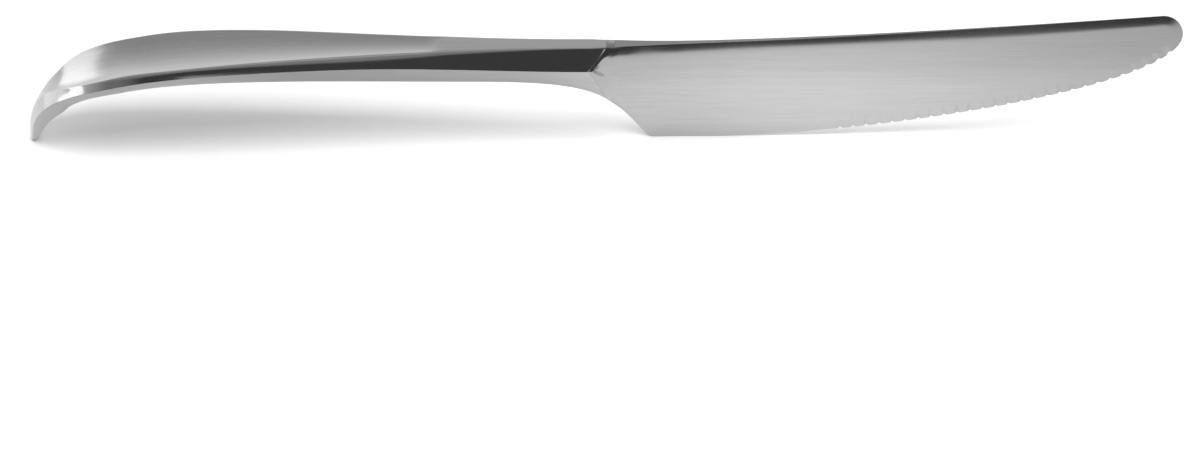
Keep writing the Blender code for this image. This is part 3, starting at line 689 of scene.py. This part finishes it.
def bladeBorder():
    lower, lowerBorders = lowerChain()
    reach = (np.array(lower)[:, 0] - rearX) / (bellyEnd[0] - rearX)
    upperX = rearX + (spineEnd[0] - rearX) * reach
    upper = [(x, spineHeight(x)) for x in upperX]
    upperBorders = [spineBorder(point) for point in upper]
    for share in np.linspace(0.0, 0.5, bladeSteps["nose"] + 1)[1:]:
        for side, points, borders in ((share, lower, lowerBorders), (1.0 - share, upper, upperBorders)):
            points.append(tuple(onNose(between(blade["noseAngle"], math.pi + blade["spineTilt"], side))))
            borders.append(noseBorder(side))
    return np.array(lower + upper[-2::-1]), lowerBorders + upperBorders[-2::-1], len(lower)


def tangHalf(along):
    half = between(blade["tangWide"], blade["tangTip"], along) / 2
    for index in range(blade["notches"]):
        centre = (index + 1) / (blade["notches"] + 1)
        offset = (along - centre) * blade["tangLength"] / (blade["notchLength"] / 2)
        if abs(offset) < 1.0:
            half -= blade["notchDepth"] * (1.0 + math.cos(math.pi * offset)) / 2
    return half


def tangRing(along, count):
    rim, _, keel = corners(mouth + blade["choilStart"], handle["wall"])
    centre = blade["top"] + (rim[1] + keel[1]) / 2
    half = tangHalf(along)
    x = -blade["spigot"] - along * blade["tangLength"] + middle
    heights = np.linspace(centre + half, centre - half, count)
    return [Vector((x, blade["tangThick"] / 2, height)) for height in heights]


def mirrored(points):
    return [Vector((point.x, -point.y, point.z)) for point in points]


# levels of the handle's section at which the rows of the blade meet the mouth, from rim to keel
def collarLevels():
    topCut, _, lowCut, flatCut = cuts(mouth)
    side = np.linalg.norm(np.subtract(*corners(mouth)[:2]))
    reach = np.linspace(0.0, 1.0, bladeSteps["border"] + 1) ** 2 * neck["border"]
    spine = 1.0 + reach / side - topCut * np.maximum(1.0 - reach / neck["soft"], 0.0) ** 2
    shares = np.linspace(0.0, 1.0, bladeSteps["flank"] + 1)[1:-1]
    flankLevels = np.interp(shares, (0.0, bladeSteps["seamRow"], 1.0), (spine[-1], 2.0, 3.0 - lowCut))
    keel = np.linspace(3.0 - lowCut, 3.0 + flatCut, bladeSteps["border"] + 1)
    return np.concatenate((spine, flankLevels, keel))


# straight rows of one column from spine to edge, before the columns at the mouth are bent into its arrow
def columnSpots(high, highIn, highBorder, low, lowIn, lowBorder):
    steps = np.linspace(0.0, 1.0, bladeSteps["border"] + 1)
    highLean, lowLean = [2.0 * steps * (1.0 - steps) * border[3] + steps * steps
                         for border in (highBorder, lowBorder)]
    far = ease((high[0] - neck["fadeStart"]) / (neck["fadeEnd"] - neck["fadeStart"]))
    highReach = highBorder[1] * between(steps, between(steps * steps, highLean, far), highBorder[2])
    lowReach = lowBorder[1] * between(steps, lowLean, lowBorder[2])
    top = high + highReach[:, None] * highIn
    bottom = (low + lowReach[:, None] * lowIn)[::-1]
    shares = np.linspace(0.0, 1.0, bladeSteps["flank"] + 1)[1:-1, None]
    return np.concatenate((top, between(top[-1], bottom[0], shares), bottom)), highReach, far


def columnHalves(spots, highReach, far, highBorder, lowBorder):
    count = bladeSteps["border"] + 1
    steps = np.linspace(0.0, 1.0, count)
    rounded = 1.0 - (1.0 - steps) ** 2
    halves = [bladeHalf(x, z) for x, z in spots]
    highRise, lowRise = [between(steps, rounded, border[2]) for border in (highBorder, lowBorder)]
    soft = between(neck["soft"], neck["softBlade"], ease(spots[0][0] / neck["fadeStart"]))
    for index in range(count):
        bitten = halves[index] - neck["biteShare"] * soft * max(1.0 - highReach[index] / soft, 0.0) ** 2
        halves[index] = between(bitten, between(highBorder[0], halves[count - 1], highRise[index]), far)
        halves[-1 - index] = between(lowBorder[0], halves[-count], lowRise[index])
    return halves


def bladeColumns():
    points, borders, lowerCount = bladeBorder()
    travel = np.gradient(points, axis=0)
    travel /= np.linalg.norm(travel, axis=1)[:, None]
    inward = np.column_stack((-travel[:, 1], travel[:, 0]))
    levels = collarLevels()
    places = [mouthPlace(level) + handle["hairline"] for level in levels]
    outline = [outerPoint(place, level) for place, level in zip(places, levels)]
    collar = [inSpace(place, lipped(point, level, handle["bladeLip"]))
              for place, point, level in zip(places, outline, levels)]
    bare = [inSpace(place, point) for place, point in zip(places, outline)]
    columns = []
    bentFrom = rearX + blade["bolster"] + neck["run"]
    for index in range(lowerCount):
        high = -1 - index
        spots, highReach, far = columnSpots(points[high], inward[high], borders[high],
                                            points[index], inward[index], borders[index])
        if index == 0:
            shift = np.array([(spot.x - middle, spot.z) for spot in bare]) - spots
            columns.append(collar)
            continue
        spots = spots + shift * (1.0 - ease((points[index][0] - bentFrom) / (neck["straight"] - bentFrom)))
        halves = columnHalves(spots, highReach, far, borders[high], borders[index])
        columns.append([Vector((x + middle, half, z)) for (x, z), half in zip(spots, halves)])
    return columns, levels


def bladeForging():
    columns, levels = bladeColumns()
    vertices, faces = [], []

    def add(items):
        vertices.extend(items)
        return list(range(len(vertices) - len(items), len(vertices)))

    right = [add(column) for column in columns]
    left = [add(mirrored(column)) for column in columns]
    rows = len(columns[0])
    for index in range(len(columns) - 1):
        after = index + 1
        for side in (right, left):
            for row in range(rows - 1):
                faces.append((side[index][row], side[after][row], side[after][row + 1], side[index][row + 1]))
        for row in (0, rows - 1):
            faces.append((left[index][row], left[after][row], right[after][row], right[index][row]))
    rings = [right[0] + list(reversed(left[0]))]
    for share in np.linspace(0.0, 1.0, bladeSteps["spigot"]):
        half = []
        for level in levels:
            place = between(mouthPlace(level) + handle["hairline"], mouth - blade["spigot"], share)
            half.append(inSpace(place, sectionPoint(place, level, handle["wall"] + blade["spigotGap"])))
        rings.append(add(half + mirrored(reversed(half))))
    for along in np.linspace(0.0, 1.0, bladeSteps["tang"]):
        half = tangRing(along, rows)
        rings.append(add(half + mirrored(reversed(half))))
    for first, second in zip(rings, rings[1:]):
        for column in range(len(first)):
            after = (column + 1) % len(first)
            faces.append((first[column], first[after], second[after], second[column]))
    faces.append(rings[-1])
    return solidPiece("bladeForging", vertices, faces, bladeSteel)


# the plunge is one soft form, while the bevels and scallops of the blade have fine crisp borders
def markSharp(mesh):
    work = bmesh.new()
    work.from_mesh(mesh)
    for edge in work.edges:
        nearNeck = max(corner.co.x for corner in edge.verts) - middle < neck["straight"]
        limit = neck["sharp"] if nearNeck else neck["sharpBlade"]
        edge.smooth = len(edge.link_faces) == 2 and edge.calc_face_angle() < limit
    work.to_mesh(mesh)
    work.free()


scallop = {"start": 0.0506, "end": 0.0020, "pitch": 0.00267, "wide": 0.0017, "tall": 0.0022,
           "deep": 0.00031, "bite": 0.00032, "sides": 96, "reach": 2.0}


def scallopCutter():
    places = runAlong(bellyLine)
    first = np.interp(scallop["start"], bellyLine[:, 0], places)
    count = int((places[-1] - scallop["end"] - first) / scallop["pitch"]) + 1
    travel = np.gradient(bellyLine, places, axis=0)
    radius = (scallop["wide"] ** 2 / 4 + scallop["deep"] ** 2) / (2 * scallop["deep"])
    vertices, faces = [], []
    for place in first + scallop["pitch"] * np.arange(count):
        spot = np.array([np.interp(place, places, bellyLine[:, axis]) for axis in (0, 1)])
        ahead = np.array([np.interp(place, places, travel[:, axis]) for axis in (0, 1)])
        inward = np.array([-ahead[1], ahead[0]])
        upper = spot + scallop["tall"] * inward
        # deep enough at the edge to leave the same bite in its outline everywhere
        slope = (flankHalf(spot) - landEdge) / blade["bevelHeight"] + flankHalf(upper) / scallop["tall"]
        through = (landEdge + scallop["bite"] * slope) / (1.0 - scallop["bite"] / scallop["tall"])
        rings = []
        for reach in (1.0 - scallop["reach"], scallop["reach"]):
            centre = spot + reach * scallop["tall"] * inward
            depth = between(through, -flankHalf(upper), reach)
            ring = []
            for turn in np.linspace(0.0, 2 * math.pi, scallop["sides"], endpoint=False):
                sideways = centre + radius * math.sin(turn) * ahead
                outward = depth - radius + radius * math.cos(turn)
                ring.append(Vector((sideways[0] + middle, outward, sideways[1])))
            rings.append(ring)
        begin = len(vertices)
        faces.extend(ringFaces(rings, begin))
        faces.append(tuple(range(begin, begin + scallop["sides"])))
        faces.append(tuple(range(begin + scallop["sides"], begin + 2 * scallop["sides"])))
        vertices.extend(rings[0] + rings[1])
    return solidPiece("scallopCutter", vertices, faces, groundSteel)


def cutScallops(piece):
    cutter = scallopCutter()
    piece.data.materials.append(groundSteel)
    cut = piece.modifiers.new("scallops", "BOOLEAN")
    cut.operation = "DIFFERENCE"
    cut.solver = "EXACT"
    cut.material_mode = "TRANSFER"
    cut.object = cutter
    graph = bpy.context.evaluated_depsgraph_get()
    mesh = bpy.data.meshes.new_from_object(piece.evaluated_get(graph))
    piece.modifiers.clear()
    piece.data = mesh
    mesh.name = piece.name
    bpy.data.objects.remove(cutter, do_unlink=True)
    markSharp(mesh)
    return piece


forging = dressNode(cutScallops(bladeForging()), "blade")
print("blade:", len(forging.data.polygons), "faces")

# hidden pieces keep their solids and get a finish
hiddenFinishes = {"seam_braze_left": brazeMetal, "seam_braze_right": brazeMetal, "tang_cement": tangCement}
for node, finish in hiddenFinishes.items():
    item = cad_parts[node]
    item.data.materials.clear()
    item.data.materials.append(finish)
print("hidden solids finished")

# table, room and lights
tableLook = {"size": 12.0, "colour": (0.86, 0.86, 0.86), "roughness": 0.9}
bpy.ops.mesh.primitive_plane_add(size=tableLook["size"])
table = bpy.context.object
table.name = "paleTable"
tablePaint = bpy.data.materials.new("palePaint")
tableSheet = Sheet(tablePaint)
tableShader = tablePaint.node_tree.nodes["Principled BSDF"]
tableSheet.feed(tableShader.inputs["Base Color"], (*tableLook["colour"], 1.0))
tableSheet.feed(tableShader.inputs["Roughness"], tableLook["roughness"])
tableSheet.feed(tableShader.inputs["Specular IOR Level"], 0.0)
table.data.materials.append(tablePaint)

# brightness of the room's sides, and the directions between which each one comes up
room = {"dark": 0.062, "horizon": 0.86, "high": 0.33, "highTo": 0.7, "behindTo": 0.6,
        "ceiling": 0.25, "ceilingFrom": 0.64, "ceilingTo": 0.93,
        "left": 0.46, "leftFrom": -0.35, "leftTo": -0.70,
        "right": 0.80, "rightFrom": 0.40, "rightTo": 0.60, "strength": 1.0}


def studioRoom(settings):
    world = bpy.data.worlds.new("studioRoom")
    bpy.context.scene.world = world
    sheet = Sheet(world)
    ways = sheet.node("ShaderNodeTexCoord", output="Generated")
    parts = sheet.node("ShaderNodeSeparateXYZ", {}, {"Vector": ways}).socket.node
    across, away, up = [Signal(sheet, parts.outputs[name]) for name in ("X", "Y", "Z")]
    behind = sheet.ramp(away, 0.0, settings["behindTo"])
    height = sheet.ramp(up, 0.0, settings["highTo"], settings["horizon"], settings["high"])
    ceiling = sheet.ramp(up, settings["ceilingFrom"], settings["ceilingTo"], 0.0, settings["ceiling"])
    left = sheet.ramp(across, settings["leftFrom"], settings["leftTo"], 0.0, settings["left"])
    right = sheet.ramp(across, settings["rightFrom"], settings["rightTo"], 0.0, settings["right"])
    grey = settings["dark"] + behind * height + ceiling + left + right
    backdrop = world.node_tree.nodes["Background"]
    sheet.feed(backdrop.inputs["Color"], sheet.node("ShaderNodeCombineColor", {},
                                                    {"Red": grey, "Green": grey, "Blue": grey}))
    sheet.feed(backdrop.inputs["Strength"], settings["strength"])


studioRoom(room)

softboxes = [
    {"name": "key", "at": (-0.12, -0.62, 1.3), "aim": (0.0, 0.0, 0.0), "size": (0.4, 1.0), "power": 16.2,
     "mirrored": False},
    {"name": "left", "at": (-1.10, 0.23, 0.70), "aim": (-0.1, 0.0, 0.0), "size": (1.7, 0.46), "power": 3.4,
     "mirrored": True},
    {"name": "glow", "at": (-0.555, 1.24, 0.56), "aim": (-0.1, 0.0, 0.0), "size": (0.28, 0.76), "power": 0.62,
     "mirrored": True, "roll": math.radians(-21.0)},
    {"name": "edge", "at": (0.065, 0.0, 0.075), "aim": (0.065, 0.0, 0.0), "size": (0.13, 0.02),
     "power": 0.032, "mirrored": False},
]
for settings in softboxes:
    lamp = bpy.data.lights.new(settings["name"], "AREA")
    lamp.shape = "RECTANGLE"
    lamp.size, lamp.size_y = settings["size"]
    lamp.energy = settings["power"]
    softbox = bpy.data.objects.new(settings["name"], lamp)
    bpy.context.collection.objects.link(softbox)
    softbox.location = settings["at"]
    facing = (Vector(settings["aim"]) - Vector(settings["at"])).to_track_quat("-Z", "Y")
    softbox.rotation_euler = (facing @ Quaternion((0.0, 0.0, 1.0), settings.get("roll", 0.0))).to_euler()
    softbox.visible_camera = False
    softbox.visible_glossy = settings["mirrored"]

# camera: the picture is 1200 x 471 and shows 4.904 pixels to a millimetre of the knife
shot = {"wide": 1200.0, "tall": 471.0, "scale": 4904.0,
        "mouthPixel": 592.0, "tableRow": 136.5, "knifeRow": 85.0,
        "elevation": math.radians(25.0), "azimuth": math.radians(-0.7), "distance": 3.2, "sensor": 36.0,
        "near": 0.05, "far": 40.0}


def takeShot(settings):
    lens = bpy.data.cameras.new("knifeCamera")
    camera = bpy.data.objects.new("knifeCamera", lens)
    bpy.context.collection.objects.link(camera)
    bpy.context.scene.camera = camera
    lens.sensor_width = settings["sensor"]
    lens.lens = settings["scale"] * settings["sensor"] / settings["wide"] * settings["distance"]
    lens.clip_start, lens.clip_end = settings["near"], settings["far"]
    # the knife lies above the middle of the picture, so the axis is tipped down below it
    below = (settings["tall"] / 2 - settings["knifeRow"]) / settings["scale"]
    pitch = settings["elevation"] + math.atan(below / settings["distance"])
    aside = (settings["wide"] / 2 - settings["mouthPixel"]) / settings["scale"] + middle
    aim = Vector((aside, 0.0, 0.0))
    turn = Matrix.Rotation(settings["azimuth"], 3, "Z")
    look = turn @ Vector((0.0, math.cos(pitch), -math.sin(pitch)))
    rise = turn @ Vector((0.0, math.sin(pitch), math.cos(pitch)))
    drop = (settings["tall"] / 2 - settings["tableRow"]) / settings["scale"]
    camera.location = aim - rise * drop - look * settings["distance"]
    camera.rotation_euler = look.to_track_quat("-Z", "Y").to_euler()


takeShot(shot)
bpy.context.scene.view_settings.view_transform = "Standard"
print("table, lights and camera set")
